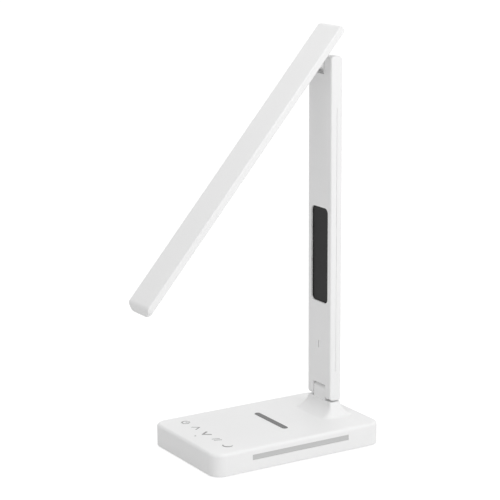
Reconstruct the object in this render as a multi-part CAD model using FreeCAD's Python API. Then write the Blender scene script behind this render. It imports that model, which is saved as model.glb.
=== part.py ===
import FreeCAD, Part
import math
import os

# Folding LED table lamp: a flat charging base, a pole with a clock display and a slim light head.
# Millimetres. The origin is on the table under the middle of the base.
# +X is the user's right, -Y the front and +Z up. Two hinges along X fold the pole and the head.

# Base
BASE_LENGTH = 180.0
BASE_WIDTH = 114.5
BASE_TOP = 22.0
BASE_CORNER = 12.0
BASE_EDGE = 3.0
BASE_WALL = 2.2
BASE_ROOF = 2.0
RIM_HEIGHT = 0.8
RIM_EDGE = 0.8

# Bottom cover, its foot ring and its screws
COVER_THICKNESS = 2.5
COVER_RECESS = 0.2
COVER_GAP = 0.25
FOOT_INSET = 17.0
FOOT_WIDTH = 6.0
FOOT_CORNER = 8.0
FOOT_SINK = 0.6
COVER_SCREW_INSET = 10.5
COVER_BOSS_RADIUS = 3.5

# Ballast plate, set in from the ends and the flanks of the base
BALLAST_END_INSET = 28.0
BALLAST_SIDE_INSET = 11.25
BALLAST_THICKNESS = 4.0
BALLAST_CORNER = 6.0
BALLAST_SCREW_INSET = 8.0

# Main board under the neck
MAIN_BOARD_WIDTH = 76.0
MAIN_BOARD_DEPTH = 42.0
MAIN_BOARD_THICKNESS = 1.6
MAIN_BOARD_ABOVE_BALLAST = 2.9
MAIN_BOARD_BEHIND_HINGE = 8.0
MAIN_BOARD_POST_RADIUS = 2.8
MAIN_BOARD_SCREW_INSET = 4.0

# Parts on the main board: X and Y from the board's middle, then width and depth
TALL_PARTS = (
    (-24.0, -8.0, 12.0, 12.0),
    (26.0, -8.0, 8.0, 8.0),
)
FLAT_PARTS = (
    (-6.0, -10.0, 9.0, 9.0),
    (12.0, -9.0, 7.0, 7.0),
    (-20.0, 9.0, 6.0, 10.0),
    (20.0, 9.0, 6.0, 10.0),
)
TALL_PART_HEADROOM = 3.0
FLAT_PART_HEIGHT = 1.6

# Charging coil and the strip that marks it
PAD_Y = 4.4
COIL_OUTER_RADIUS = 22.0
COIL_INNER_RADIUS = 9.0
COIL_THICKNESS = 1.0
FERRITE_MARGIN = 3.0
FERRITE_THICKNESS = 0.8
STRIP_LENGTH = 53.0
STRIP_WIDTH = 5.6
STRIP_SINK = 0.8
STRIP_PROUD = 0.3
STRIP_GAP = 0.05

# Touch keys
KEY_FROM_FRONT = 24.7
KEY_PITCH = 19.0
KEY_SIZE = 8.4
KEY_STROKE = 1.3
KEY_BOLD_STROKE = 2.0
KEY_SINK = 0.3
KEY_PROUD = 0.03
TOUCH_BOARD_SIDE_GAP = 10.0
TOUCH_BOARD_FRONT = 15.0
TOUCH_BOARD_BACK = 8.0
TOUCH_BOARD_THICKNESS = 1.2
TOUCH_BOARD_BOSS_GAP = 0.5
PIPE_AHEAD = 11.5
PIPE_RADIUS = 1.0
PIPE_GAP = 0.05

# Key symbols: X and Y from the key's middle, and radii, in halves of the key size
POWER_GAP = 0.5
POWER_BAR = ((0.0, 0.1), (0.0, 0.9))
BRIGHTER_CHEVRON = ((-0.9, -0.5), (0.0, 0.9), (0.9, -0.5))
DIMMER_CHEVRON = ((-1.0, 0.6), (0.0, -0.9), (1.0, 0.6))
SLANTED_BARS = (((-0.7, -0.7), (-0.2, 0.7)), ((0.2, -0.7), (0.7, 0.7)))
MOON_RADIUS = 1.15
MOON_BITE = (-0.36, 0.36)
MOON_BITE_RADIUS = 1.1

# Night light along the right flank
FLANK_LIGHT_LENGTH = 103.4
FLANK_LIGHT_Y = 1.0
FLANK_LIGHT_DROP = 6.0
FLANK_LIGHT_HEIGHT = 5.1
FLANK_LIGHT_RECESS = 0.5
FLANK_LIGHT_GAP = 0.1
FLANK_FLANGE_LAP = 1.5
FLANK_FLANGE_THICKNESS = 1.2
FLANK_LED_COUNT = 8
FLANK_LED_LENGTH = 3.5
FLANK_LED_HEIGHT = 2.8
FLANK_LED_DEPTH = 0.9
FLANK_BOARD_THICKNESS = 1.0

# Power inlet in the back wall
JACK_BODY_RADIUS = 5.0
JACK_BODY_DEPTH = 12.0
JACK_NOSE_RADIUS = 3.9
JACK_NOSE_GAP = 0.1
JACK_NOSE_RECESS = 0.2
JACK_BORE_RADIUS = 2.9
JACK_BORE_DEPTH = 9.5
JACK_PIN_RADIUS = 1.0
JACK_PIN_RECESS = 1.5
JACK_SADDLE_WIDTH = 2.0
JACK_SADDLE_GAP = 0.1
JACK_SADDLE_DEPTH = 7.0

# Neck of the base
NECK_FROM_BACK = 9.2
NECK_FOOT_HALF_WIDTH = 26.0
NECK_FOOT_HALF_DEPTH = 17.0
NECK_FOOT_CORNER = 7.0
NECK_TOP_CORNER = 2.0
NECK_TOP_INSET = 0.4
NECK_SIDE_FLARE = 1.2
NECK_FRONT_FLARE = 2.6
NECK_SECTIONS = 6
NECK_FOOT_ROUND = 2.5
SHOULDER_GAP = 1.3
DUCT_RADIUS = 2.2
HARNESS_RADIUS = 1.7

# Hinges
LOWER_AXIS_RISE = 22.0
AXIS_SPAN = 306.5
PIN_RADIUS = 2.5
PIN_INSET = 3.0
PIN_CHAMFER = 0.4
PIN_SEAT = 0.02
RUNNING_GAP = 0.04
BUSH_RADIUS = 3.5
WASHER_RADIUS = 4.8
WASHER_THICKNESS = 0.5
WASHER_GAP = 0.1
KNUCKLE_RADIUS = 5.4
KNUCKLE_WIDTH = 18.6
KNUCKLE_GAP = 0.8
LUG_RADIUS = 5.6
LUG_ROOT_HALF = 8.2
LUG_WIDTH = 12.2
LUG_GAP = 2.4

# Pole
POLE_WIDTH = 38.0
POLE_THICKNESS = 12.0
POLE_EDGE = 1.5
POLE_SKIN = 1.6
POLE_SIDE_WALL = 1.8
EAR_DROP = 7.8
EAR_RISE = 9.2
EAR_ROUND = 4.0
EAR_HEEL_ROUND = 1.6
END_BLOCK = 7.0
GROOVE_WIDTH = 0.6
GROOVE_DEPTH = 0.5
GROOVE_FROM_LOWER = 21.0
GROOVE_FROM_UPPER = 37.5

# Display
WINDOW_SIDE = 5.3
WINDOW_HEIGHT = 90.4
WINDOW_RISE = 85.0
WINDOW_CORNER = 5.0
LENS_LAP = 1.4
LENS_THICKNESS = 1.0
LCD_MARGIN = 0.6
LCD_THICKNESS = 2.0
SLIT_X = -1.0
SLIT_RISE = 40.7
SLIT_HEIGHT = 6.8
SLIT_WIDTH = 1.0
DISPLAY_BOARD_SIDE_GAP = 2.2
DISPLAY_BOARD_THICKNESS = 1.0
DISPLAY_BOARD_BELOW_SLIT = 9.0
DISPLAY_BOARD_ABOVE_WINDOW = 12.0
DISPLAY_SCREW_INSET = 3.6
DISPLAY_POST_RADIUS = 2.2
SENSOR_WIDTH = 3.0
SENSOR_HEIGHT = 4.0
SENSOR_GAP = 0.3
CELL_RADIUS = 8.0
CELL_THICKNESS = 1.8

# Inside the back half of the pole
SPINE_BOSS_GAP = 0.8
SPINE_THICKNESS = 1.2
SPINE_END_GAP = 1.0
CABLE_WIDTH = 8.0
CABLE_THICKNESS = 0.5
POLE_SCREW_SIDE = 6.0
POLE_BOSS_RADIUS = 3.2
POLE_SCREW_FROM_END = 6.5
POLE_SCREW_ABOVE_BOARD = 7.5

# Head, layer by layer from its outer skin to the diffuser
HEAD_WIDTH = 36.6
HEAD_TIP = 283.6
HEAD_REAR = 32.2
HEAD_CLEARANCE = 3.93
HEAD_ANGLE = 40.7
HEAD_SKIN = 1.4
HEAD_EDGE = 1.2
HEAD_RIM = 0.9
HEAD_CORNER = 7.0
HEAD_BEVEL = 5.2
HEAD_BEVEL_ROUND = 6.0
HEAD_REAR_ROLL = 4.0
HEAT_PLATE_THICKNESS = 0.8
REFLECTOR_THICKNESS = 0.3
GUIDE_THICKNESS = 2.4
DIFFUSER_THICKNESS = 1.2
DIFFUSER_RECESS = 0.3
HEAD_GAP = 0.2
LED_BOARD_THICKNESS = 1.0
LED_DEPTH = 0.8
LED_LENGTH = 3.5
LED_HEIGHT = 1.8
LED_PITCH = 9.0
LED_FIRST = 6.0
PANEL_FRONT = 18.0
PANEL_THICKNESS = 2.4
PANEL_SCREW_SIDE = 6.5
PANEL_SCREW_FROM_FRONT = 5.5
PANEL_SCREW_FROM_REAR = 10.7
PANEL_BOSS_RADIUS = 2.8

# Screws: shank radius, head radius and head height
COVER_SCREW = (1.4, 2.6, 1.3)
BALLAST_SCREW = (1.4, 2.6, 1.5)
SMALL_SCREW = (1.0, 1.9, 1.2)
POLE_SCREW = (1.1, 2.2, 1.6)
SCREW_BITE = 5.0
SMALL_SCREW_BITE = 2.4
PANEL_SCREW_BITE = 1.7
SCREW_GAP = 0.05
HOLE_GAP = 0.3
HEAD_POCKET_GAP = 0.2
HEAD_POCKET_SINK = 0.2

# Worked out from the sizes above
BASE_CEILING = BASE_TOP - BASE_ROOF
COVER_BOTTOM = RIM_HEIGHT + COVER_RECESS
COVER_TOP = COVER_BOTTOM + COVER_THICKNESS
BALLAST_TOP = COVER_TOP + BALLAST_THICKNESS
BALLAST_HALF_LENGTH = BASE_LENGTH / 2 - BALLAST_END_INSET
BALLAST_HALF_WIDTH = BASE_WIDTH / 2 - BALLAST_SIDE_INSET
BACK_Y = BASE_LENGTH / 2
HINGE_Y = BACK_Y - NECK_FROM_BACK - NECK_FOOT_HALF_DEPTH
MAIN_BOARD_BOTTOM = BALLAST_TOP + MAIN_BOARD_ABOVE_BALLAST
MAIN_BOARD_TOP = MAIN_BOARD_BOTTOM + MAIN_BOARD_THICKNESS
MAIN_BOARD_Y = HINGE_Y + MAIN_BOARD_BEHIND_HINGE - MAIN_BOARD_DEPTH / 2
KEY_Y = KEY_FROM_FRONT - BASE_LENGTH / 2
KEY_HALF = KEY_SIZE / 2
FLANK_X = BASE_WIDTH / 2
FLANK_LIGHT_TOP = BASE_TOP - FLANK_LIGHT_DROP
FLANK_LIGHT_BOTTOM = FLANK_LIGHT_TOP - FLANK_LIGHT_HEIGHT
JACK_Z = (COVER_TOP + BASE_CEILING) / 2
LOWER_AXIS_Z = BASE_TOP + LOWER_AXIS_RISE
UPPER_AXIS_Z = LOWER_AXIS_Z + AXIS_SPAN
POLE_FRONT = HINGE_Y - POLE_THICKNESS / 2
POLE_BACK = HINGE_Y + POLE_THICKNESS / 2
POLE_FOOT = LOWER_AXIS_Z - EAR_DROP
POLE_HEAD = UPPER_AXIS_Z + EAR_RISE
PIN_LENGTH = POLE_WIDTH - 2 * PIN_INSET
NECK_TOP = POLE_FOOT - SHOULDER_GAP
EAR_REACH = math.hypot(POLE_THICKNESS / 2 - EAR_ROUND, EAR_RISE - EAR_ROUND) + EAR_ROUND
LOWER_NOTCH_HALF = KNUCKLE_WIDTH / 2 + WASHER_THICKNESS + 2 * WASHER_GAP
LOWER_NOTCH_TOP = LOWER_AXIS_Z + KNUCKLE_RADIUS + KNUCKLE_GAP
UPPER_NOTCH_HALF = LUG_WIDTH / 2 + WASHER_THICKNESS + 2 * WASHER_GAP
UPPER_NOTCH_FLOOR = UPPER_AXIS_Z - LUG_RADIUS - LUG_GAP
CAVITY_BOTTOM = LOWER_NOTCH_TOP + END_BLOCK
CAVITY_TOP = UPPER_NOTCH_FLOOR - END_BLOCK
WINDOW_WIDTH = POLE_WIDTH - 2 * WINDOW_SIDE
WINDOW_Z = LOWER_AXIS_Z + WINDOW_RISE + WINDOW_HEIGHT / 2
SLIT_Z = LOWER_AXIS_Z + SLIT_RISE + SLIT_HEIGHT / 2
LENS_FRONT = POLE_FRONT + POLE_SKIN
LENS_BACK = LENS_FRONT + LENS_THICKNESS
LCD_BACK = LENS_BACK + LCD_THICKNESS
DISPLAY_BOARD_HALF = POLE_WIDTH / 2 - POLE_SIDE_WALL - DISPLAY_BOARD_SIDE_GAP
DISPLAY_BOARD_BACK = LCD_BACK + DISPLAY_BOARD_THICKNESS
DISPLAY_BOARD_BOTTOM = SLIT_Z - SLIT_HEIGHT / 2 - DISPLAY_BOARD_BELOW_SLIT
DISPLAY_BOARD_TOP = WINDOW_Z + WINDOW_HEIGHT / 2 + DISPLAY_BOARD_ABOVE_WINDOW
CELL_Z = (SLIT_Z + SLIT_HEIGHT / 2 + WINDOW_Z - WINDOW_HEIGHT / 2) / 2
POLE_SCREW_X = POLE_WIDTH / 2 - POLE_SCREW_SIDE
SPINE_HALF = POLE_SCREW_X - POLE_BOSS_RADIUS - SPINE_BOSS_GAP
SPINE_BACK = POLE_BACK - POLE_SKIN
SPINE_FRONT = SPINE_BACK - SPINE_THICKNESS
HINGE_DROP = EAR_REACH + HEAD_CLEARANCE
HEAD_LAYERS = HEAT_PLATE_THICKNESS + REFLECTOR_THICKNESS + GUIDE_THICKNESS + DIFFUSER_THICKNESS
HEAD_TOP = HINGE_DROP + DIFFUSER_RECESS + HEAD_LAYERS + HEAD_SKIN
DIFFUSER_BOTTOM = HINGE_DROP + DIFFUSER_RECESS
GUIDE_BOTTOM = DIFFUSER_BOTTOM + DIFFUSER_THICKNESS
REFLECTOR_BOTTOM = GUIDE_BOTTOM + GUIDE_THICKNESS
HEAT_PLATE_BOTTOM = REFLECTOR_BOTTOM + REFLECTOR_THICKNESS
HEAD_CEILING = HEAT_PLATE_BOTTOM + HEAT_PLATE_THICKNESS
HEAD_INNER_HALF = HEAD_WIDTH / 2 - HEAD_SKIN
PANEL_TOP = DIFFUSER_BOTTOM + PANEL_THICKNESS
PANEL_SCREW_X = HEAD_WIDTH / 2 - PANEL_SCREW_SIDE
PANEL_SCREW_FRONT = PANEL_SCREW_FROM_FRONT - PANEL_FRONT
PANEL_SCREW_REAR = HEAD_REAR - PANEL_SCREW_FROM_REAR
LAYERS_TIP = -(HEAD_TIP - max(HEAD_BEVEL + 2 * HEAD_SKIN, HEAD_CORNER) - HEAD_GAP)
LAYERS_REAR = -(PANEL_FRONT + HEAD_GAP)
LED_BOARD_OUTER = HEAD_INNER_HALF
LED_BOARD_INNER = LED_BOARD_OUTER - LED_BOARD_THICKNESS
LED_INNER = LED_BOARD_INNER - LED_DEPTH

# Room that a cut leaves beyond the faces it opens, and the rounding allowed where edges are picked by place
CUT = 1.0
SNAP = 1e-4

V = FreeCAD.Vector
ORIGIN = V(0, 0, 0)
AXIS_X = V(1, 0, 0)
AXIS_Y = V(0, 1, 0)
AXIS_Z = V(0, 0, 1)


def box(x0, x1, y0, y1, z0, z1):
    """A square block between two corners."""
    return Part.makeBox(x1 - x0, y1 - y0, z1 - z0, V(x0, y0, z0))


def rod(radius, start, end):
    """A round rod from one point to another."""
    return Part.makeCylinder(radius, (end - start).Length, start, end - start)


def rounded_outline(half_x, half_y, radius, z, x=0.0, y=0.0):
    """A closed level outline with four round corners."""
    corners = ((1, 1), (-1, 1), (-1, -1), (1, -1))
    arcs = []
    for quarter, (side_x, side_y) in enumerate(corners):
        centre = V(x + side_x * (half_x - radius), y + side_y * (half_y - radius), z)
        start = quarter * math.pi / 2
        arcs.append(Part.ArcOfCircle(Part.Circle(centre, AXIS_Z, radius), start, start + math.pi / 2))
    edges = []
    for arc, following in zip(arcs, arcs[1:] + arcs[:1]):
        edges.append(arc.toShape())
        if (following.StartPoint - arc.EndPoint).Length > SNAP:
            edges.append(Part.LineSegment(arc.EndPoint, following.StartPoint).toShape())
    return Part.Wire(edges)


def rounded_block(half_x, half_y, radius, z0, z1, x=0.0, y=0.0):
    """A level plate with four round corners."""
    return Part.Face(rounded_outline(half_x, half_y, radius, z0, x, y)).extrude(V(0, 0, z1 - z0))


def upright_plate(half_x, half_z, radius, y0, y1, x, z):
    """A standing plate with four round corners, seen from the front."""
    plate = rounded_block(half_x, half_z, radius, -y1, -y0, x, z)
    plate.rotate(ORIGIN, AXIS_X, 90)
    return plate


def level_edges(shape, z):
    """The edges of a shape that lie at one height."""
    return [edge for edge in shape.Edges if all(abs(v.Z - z) < SNAP for v in edge.Vertexes)]


def mirrored_pairs(x, rows):
    """Places left and right at each of the given rows."""
    return [(side * x, row) for row in rows for side in (-1, 1)]


def screw(size, bite, place, direction):
    """A pan-head screw whose head seats at a place and whose shank goes along a direction."""
    shank_radius, head_radius, head_height = size
    shank = rod(shank_radius, place, place + direction * bite)
    head = rod(head_radius, place - direction * head_height, place)
    return head.fuse(shank)


def hinge_rod(radius, half_length, z):
    """A rod along a hinge axis, centred on the lamp."""
    return rod(radius, V(-half_length, HINGE_Y, z), V(half_length, HINGE_Y, z))


def hinge_pin(z):
    pin = hinge_rod(PIN_RADIUS, PIN_LENGTH / 2, z)
    rims = [edge for edge in pin.Edges if edge.Curve.TypeId == "Part::GeomCircle"]
    return pin.makeChamfer(PIN_CHAMFER, rims)


def hinge_bush(width, z):
    """A sleeve that a hinge pin turns in."""
    return hinge_rod(BUSH_RADIUS, width / 2, z).cut(hinge_rod(PIN_RADIUS + RUNNING_GAP, width, z))


def hinge_washers(inner_width, z):
    """A pair of friction washers, one each side of a hinge's inner leaf."""
    washers = []
    for side in (-1, 1):
        near = V(side * (inner_width / 2 + WASHER_GAP), HINGE_Y, z)
        far = near + V(side * WASHER_THICKNESS, 0, 0)
        washers.append(rod(WASHER_RADIUS, near, far).cut(hinge_rod(PIN_RADIUS + WASHER_GAP, PIN_LENGTH, z)))
    return Part.makeCompound(washers)


def cover_screw_places():
    x = BASE_WIDTH / 2 - COVER_SCREW_INSET
    y = BASE_LENGTH / 2 - COVER_SCREW_INSET
    return mirrored_pairs(x, (-y, y))


def main_board_screw_places():
    x = MAIN_BOARD_WIDTH / 2 - MAIN_BOARD_SCREW_INSET
    y = MAIN_BOARD_DEPTH / 2 - MAIN_BOARD_SCREW_INSET
    return mirrored_pairs(x, (MAIN_BOARD_Y - y, MAIN_BOARD_Y + y))


def neck():
    """The flared neck, from its wide foot on the base to its shoulders under the pole."""
    height = NECK_TOP - BASE_TOP
    top_half_width = POLE_WIDTH / 2 - NECK_TOP_INSET
    top_half_depth = POLE_THICKNESS / 2
    sections = []
    for step in range(NECK_SECTIONS):
        rise = step / (NECK_SECTIONS - 1)
        side_spread = (1 - rise) ** NECK_SIDE_FLARE
        front_spread = (1 - rise) ** NECK_FRONT_FLARE
        half_width = top_half_width + (NECK_FOOT_HALF_WIDTH - top_half_width) * side_spread
        half_depth = top_half_depth + (NECK_FOOT_HALF_DEPTH - top_half_depth) * front_spread
        corner = NECK_TOP_CORNER + (NECK_FOOT_CORNER - NECK_TOP_CORNER) * front_spread
        z = BASE_TOP + height * rise
        sections.append(rounded_outline(half_width, half_depth, corner, z, 0.0, HINGE_Y))
    return Part.makeLoft(sections, True)


def knuckle():
    """The middle leaf of the lower hinge."""
    half = KNUCKLE_WIDTH / 2
    leg = box(-half, half, HINGE_Y - KNUCKLE_RADIUS, HINGE_Y + KNUCKLE_RADIUS, NECK_TOP - CUT, LOWER_AXIS_Z)
    return leg.fuse(hinge_rod(KNUCKLE_RADIUS, half, LOWER_AXIS_Z))


def neck_foot_edges(shape):
    """The edges where the neck meets the top of the base."""
    edges = []
    for edge in level_edges(shape, BASE_TOP):
        middle = edge.BoundBox.Center
        near_x = abs(middle.x) < NECK_FOOT_HALF_WIDTH + CUT
        near_y = abs(middle.y - HINGE_Y) < NECK_FOOT_HALF_DEPTH + CUT
        if near_x and near_y:
            edges.append(edge)
    return edges


def base_shell():
    half_x = BASE_WIDTH / 2
    half_y = BASE_LENGTH / 2
    block = rounded_block(half_x, half_y, BASE_CORNER, RIM_HEIGHT, BASE_TOP)
    block = block.makeFillet(BASE_EDGE, level_edges(block, BASE_TOP))
    block = block.makeFillet(RIM_EDGE, level_edges(block, RIM_HEIGHT))
    block = block.fuse(neck())
    block = block.makeFillet(NECK_FOOT_ROUND, neck_foot_edges(block))
    inner_x = half_x - BASE_WALL
    inner_y = half_y - BASE_WALL
    hollow = rounded_block(inner_x, inner_y, BASE_CORNER - BASE_WALL, RIM_HEIGHT - CUT, BASE_CEILING)
    shell = block.cut(hollow).fuse(knuckle())
    for x, y in cover_screw_places():
        shell = shell.fuse(rod(COVER_BOSS_RADIUS, V(x, y, COVER_TOP), V(x, y, BASE_CEILING + CUT)))
        pilot_top = COVER_BOTTOM + COVER_SCREW[2] + HEAD_POCKET_SINK + SCREW_BITE + COVER_THICKNESS
        shell = shell.cut(rod(COVER_SCREW[0] + SCREW_GAP, V(x, y, COVER_TOP - CUT), V(x, y, pilot_top)))
    for x, y in main_board_screw_places():
        post = rod(MAIN_BOARD_POST_RADIUS, V(x, y, MAIN_BOARD_TOP), V(x, y, BASE_CEILING + CUT))
        pilot_top = MAIN_BOARD_TOP + SMALL_SCREW_BITE + CUT
        shell = shell.fuse(post)
        shell = shell.cut(rod(SMALL_SCREW[0] + SCREW_GAP, V(x, y, MAIN_BOARD_TOP - CUT), V(x, y, pilot_top)))
    wall = BACK_Y - BASE_WALL
    for side in (-1, 1):
        near = side * (JACK_BODY_RADIUS + JACK_SADDLE_GAP)
        far = near + side * JACK_SADDLE_WIDTH
        front = wall - JACK_SADDLE_DEPTH
        saddle = box(min(near, far), max(near, far), front, wall + CUT, JACK_Z, BASE_CEILING + CUT)
        shell = shell.fuse(saddle)
    shell = shell.cut(hinge_rod(BUSH_RADIUS, KNUCKLE_WIDTH, LOWER_AXIS_Z))
    shell = shell.cut(rod(DUCT_RADIUS, V(0, HINGE_Y, BASE_CEILING - CUT), V(0, HINGE_Y, LOWER_AXIS_Z)))
    shell = shell.cut(charging_strip_block(STRIP_GAP, CUT))
    shell = shell.cut(touch_icons_block(CUT))
    shell = shell.cut(indicator_rod(PIPE_RADIUS + PIPE_GAP, BASE_CEILING - CUT, BASE_TOP + CUT))
    shell = shell.cut(flank_light_block(0.0, FLANK_X - BASE_WALL - CUT, FLANK_X + CUT))
    nose_hole = rod(JACK_NOSE_RADIUS + JACK_NOSE_GAP, jack_point(wall - CUT), jack_point(BACK_Y + CUT))
    return shell.cut(nose_hole).removeSplitter()


def foot_outline(inset, z0, z1):
    half_x = BASE_WIDTH / 2 - FOOT_INSET - inset
    half_y = BASE_LENGTH / 2 - FOOT_INSET - inset
    return rounded_block(half_x, half_y, FOOT_CORNER - inset, z0, z1)


def foot_ring():
    """The soft ring that the lamp stands on, let into the bottom cover."""
    top = COVER_BOTTOM + FOOT_SINK
    return foot_outline(0.0, 0.0, top).cut(foot_outline(FOOT_WIDTH, -CUT, top + CUT))


def ballast_screw_places():
    x = BALLAST_HALF_WIDTH - BALLAST_SCREW_INSET
    y = BALLAST_HALF_LENGTH - BALLAST_SCREW_INSET
    return mirrored_pairs(x, (-y, y))


def ballast_bite():
    return BALLAST_THICKNESS + COVER_THICKNESS / 2


def base_cover():
    inset = BASE_WALL + COVER_GAP
    half_x = BASE_WIDTH / 2 - inset
    half_y = BASE_LENGTH / 2 - inset
    cover = rounded_block(half_x, half_y, BASE_CORNER - inset, COVER_BOTTOM, COVER_TOP).cut(foot_ring())
    shank_radius, head_radius, head_height = COVER_SCREW
    pocket_top = COVER_BOTTOM + head_height + HEAD_POCKET_SINK
    for x, y in cover_screw_places():
        below = V(x, y, COVER_BOTTOM - CUT)
        cover = cover.cut(rod(head_radius + HEAD_POCKET_GAP, below, V(x, y, pocket_top)))
        cover = cover.cut(rod(shank_radius + HOLE_GAP, below, V(x, y, COVER_TOP + CUT)))
    for x, y in ballast_screw_places():
        pilot_bottom = BALLAST_TOP - ballast_bite() - HEAD_POCKET_SINK
        cover = cover.cut(rod(BALLAST_SCREW[0] + SCREW_GAP, V(x, y, pilot_bottom), V(x, y, COVER_TOP + CUT)))
    return cover


def cover_screws():
    seat = COVER_BOTTOM + COVER_SCREW[2] + HEAD_POCKET_SINK
    bite = SCREW_BITE + COVER_TOP - seat
    places = [V(x, y, seat) for x, y in cover_screw_places()]
    return Part.makeCompound([screw(COVER_SCREW, bite, place, AXIS_Z) for place in places])


def ballast_plate():
    plate = rounded_block(BALLAST_HALF_WIDTH, BALLAST_HALF_LENGTH, BALLAST_CORNER, COVER_TOP, BALLAST_TOP)
    for x, y in ballast_screw_places():
        hole = rod(BALLAST_SCREW[0] + HOLE_GAP, V(x, y, COVER_TOP - CUT), V(x, y, BALLAST_TOP + CUT))
        plate = plate.cut(hole)
    return plate


def ballast_screws():
    places = [V(x, y, BALLAST_TOP) for x, y in ballast_screw_places()]
    return Part.makeCompound([screw(BALLAST_SCREW, ballast_bite(), place, -AXIS_Z) for place in places])


def main_board():
    half_x = MAIN_BOARD_WIDTH / 2
    front = MAIN_BOARD_Y - MAIN_BOARD_DEPTH / 2
    back = MAIN_BOARD_Y + MAIN_BOARD_DEPTH / 2
    board = box(-half_x, half_x, front, back, MAIN_BOARD_BOTTOM, MAIN_BOARD_TOP)
    for x, y in main_board_screw_places():
        below = V(x, y, MAIN_BOARD_BOTTOM - CUT)
        board = board.cut(rod(SMALL_SCREW[0] + HOLE_GAP, below, V(x, y, MAIN_BOARD_TOP + CUT)))
    return board


def main_board_screws():
    bite = MAIN_BOARD_THICKNESS + SMALL_SCREW_BITE
    places = [V(x, y, MAIN_BOARD_BOTTOM) for x, y in main_board_screw_places()]
    return Part.makeCompound([screw(SMALL_SCREW, bite, place, AXIS_Z) for place in places])


def board_parts():
    """Choke, capacitor, chips and connectors soldered on the main board."""
    tall_height = BASE_CEILING - TALL_PART_HEADROOM - MAIN_BOARD_TOP
    blocks = []
    for parts, height in ((TALL_PARTS, tall_height), (FLAT_PARTS, FLAT_PART_HEIGHT)):
        for x, y, width, depth in parts:
            corner = V(x - width / 2, MAIN_BOARD_Y + y - depth / 2, MAIN_BOARD_TOP)
            blocks.append(Part.makeBox(width, depth, height, corner))
    return Part.makeCompound(blocks)


def base_harness():
    """The lead that rises from the main board through the neck to the lower hinge."""
    end = LOWER_AXIS_Z - BUSH_RADIUS - HOLE_GAP
    return rod(HARNESS_RADIUS, V(0, HINGE_Y, MAIN_BOARD_TOP), V(0, HINGE_Y, end))


def charging_coil():
    centre = V(0, PAD_Y, BASE_CEILING - COIL_THICKNESS)
    coil = rod(COIL_OUTER_RADIUS, centre, V(0, PAD_Y, BASE_CEILING))
    return coil.cut(rod(COIL_INNER_RADIUS, centre - AXIS_Z, V(0, PAD_Y, BASE_CEILING + CUT)))


def ferrite_sheet():
    half = COIL_OUTER_RADIUS + FERRITE_MARGIN
    top = BASE_CEILING - COIL_THICKNESS
    return box(-half, half, PAD_Y - half, PAD_Y + half, top - FERRITE_THICKNESS, top)


def charging_strip_block(gap, proud):
    half_x = STRIP_LENGTH / 2 + gap
    half_y = STRIP_WIDTH / 2 + gap
    return rounded_block(half_x, half_y, half_y, BASE_TOP - STRIP_SINK, BASE_TOP + proud, 0.0, PAD_Y)


def stroke(points, width, z0, z1):
    """A flat line of even width through points on the top of the base, with round ends."""
    line = None
    for start, end in zip(points, points[1:]):
        along = V(end[0] - start[0], end[1] - start[1], 0)
        across = V(-along.y, along.x, 0).normalize() * (width / 2)
        low = V(start[0], start[1], z0)
        high = V(end[0], end[1], z0)
        corners = [low - across, high - across, high + across, low + across]
        run = Part.Face(Part.makePolygon(corners + corners[:1])).extrude(V(0, 0, z1 - z0))
        for place in (low, high):
            run = run.fuse(rod(width / 2, place, place + V(0, 0, z1 - z0)))
        line = run if line is None else line.fuse(run)
    return line


def on_key(x, points):
    """The places on the base of the points of a key symbol."""
    return [(x + KEY_HALF * across, KEY_Y + KEY_HALF * along) for across, along in points]


def power_key(x, z0, z1):
    """A circle with a bar that rises out of it."""
    low = V(x, KEY_Y, z0)
    high = V(x, KEY_Y, z1)
    ring = rod(KEY_HALF, low, high).cut(rod(KEY_HALF - KEY_STROKE, low, high))
    gap = POWER_GAP * KEY_HALF
    ring = ring.cut(box(x - gap, x + gap, KEY_Y, KEY_Y + KEY_SIZE, z0 - CUT, z1 + CUT))
    return [ring, stroke(on_key(x, POWER_BAR), KEY_STROKE, z0, z1)]


def brighter_key(x, z0, z1):
    """A chevron that points to the back."""
    return [stroke(on_key(x, BRIGHTER_CHEVRON), KEY_STROKE, z0, z1)]


def dimmer_key(x, z0, z1):
    """A bold chevron that points to the front."""
    return [stroke(on_key(x, DIMMER_CHEVRON), KEY_BOLD_STROKE, z0, z1)]


def tone_key(x, z0, z1):
    """Two slanted strokes side by side."""
    return [stroke(on_key(x, ends), KEY_STROKE, z0, z1) for ends in SLANTED_BARS]


def night_key(x, z0, z1):
    """A crescent moon."""
    moon = rod(MOON_RADIUS * KEY_HALF, V(x, KEY_Y, z0), V(x, KEY_Y, z1))
    bite_x, bite_y = on_key(x, (MOON_BITE,))[0]
    bite = rod(MOON_BITE_RADIUS * KEY_HALF, V(bite_x, bite_y, z0 - CUT), V(bite_x, bite_y, z1 + CUT))
    return [moon.cut(bite)]


def touch_icons_block(proud):
    """The five key symbols, from left to right."""
    keys = (power_key, brighter_key, dimmer_key, tone_key, night_key)
    z0 = BASE_TOP - KEY_SINK
    z1 = BASE_TOP + proud
    solids = []
    for place, key in enumerate(keys):
        x = (place - (len(keys) - 1) / 2) * KEY_PITCH
        solids.extend(key(x, z0, z1))
    return Part.makeCompound(solids)


def touch_board():
    """The board under the keys, cut away round the two front screw bosses."""
    half = BASE_WIDTH / 2 - BASE_WALL - TOUCH_BOARD_SIDE_GAP
    bottom = BASE_CEILING - TOUCH_BOARD_THICKNESS
    board = box(-half, half, KEY_Y - TOUCH_BOARD_FRONT, KEY_Y + TOUCH_BOARD_BACK, bottom, BASE_CEILING)
    for x, y in cover_screw_places():
        room = COVER_BOSS_RADIUS + TOUCH_BOARD_BOSS_GAP
        board = board.cut(rod(room, V(x, y, bottom - CUT), V(x, y, BASE_CEILING + CUT)))
    return board


def indicator_rod(radius, z0, z1):
    y = KEY_Y - PIPE_AHEAD
    return rod(radius, V(0, y, z0), V(0, y, z1))


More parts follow.
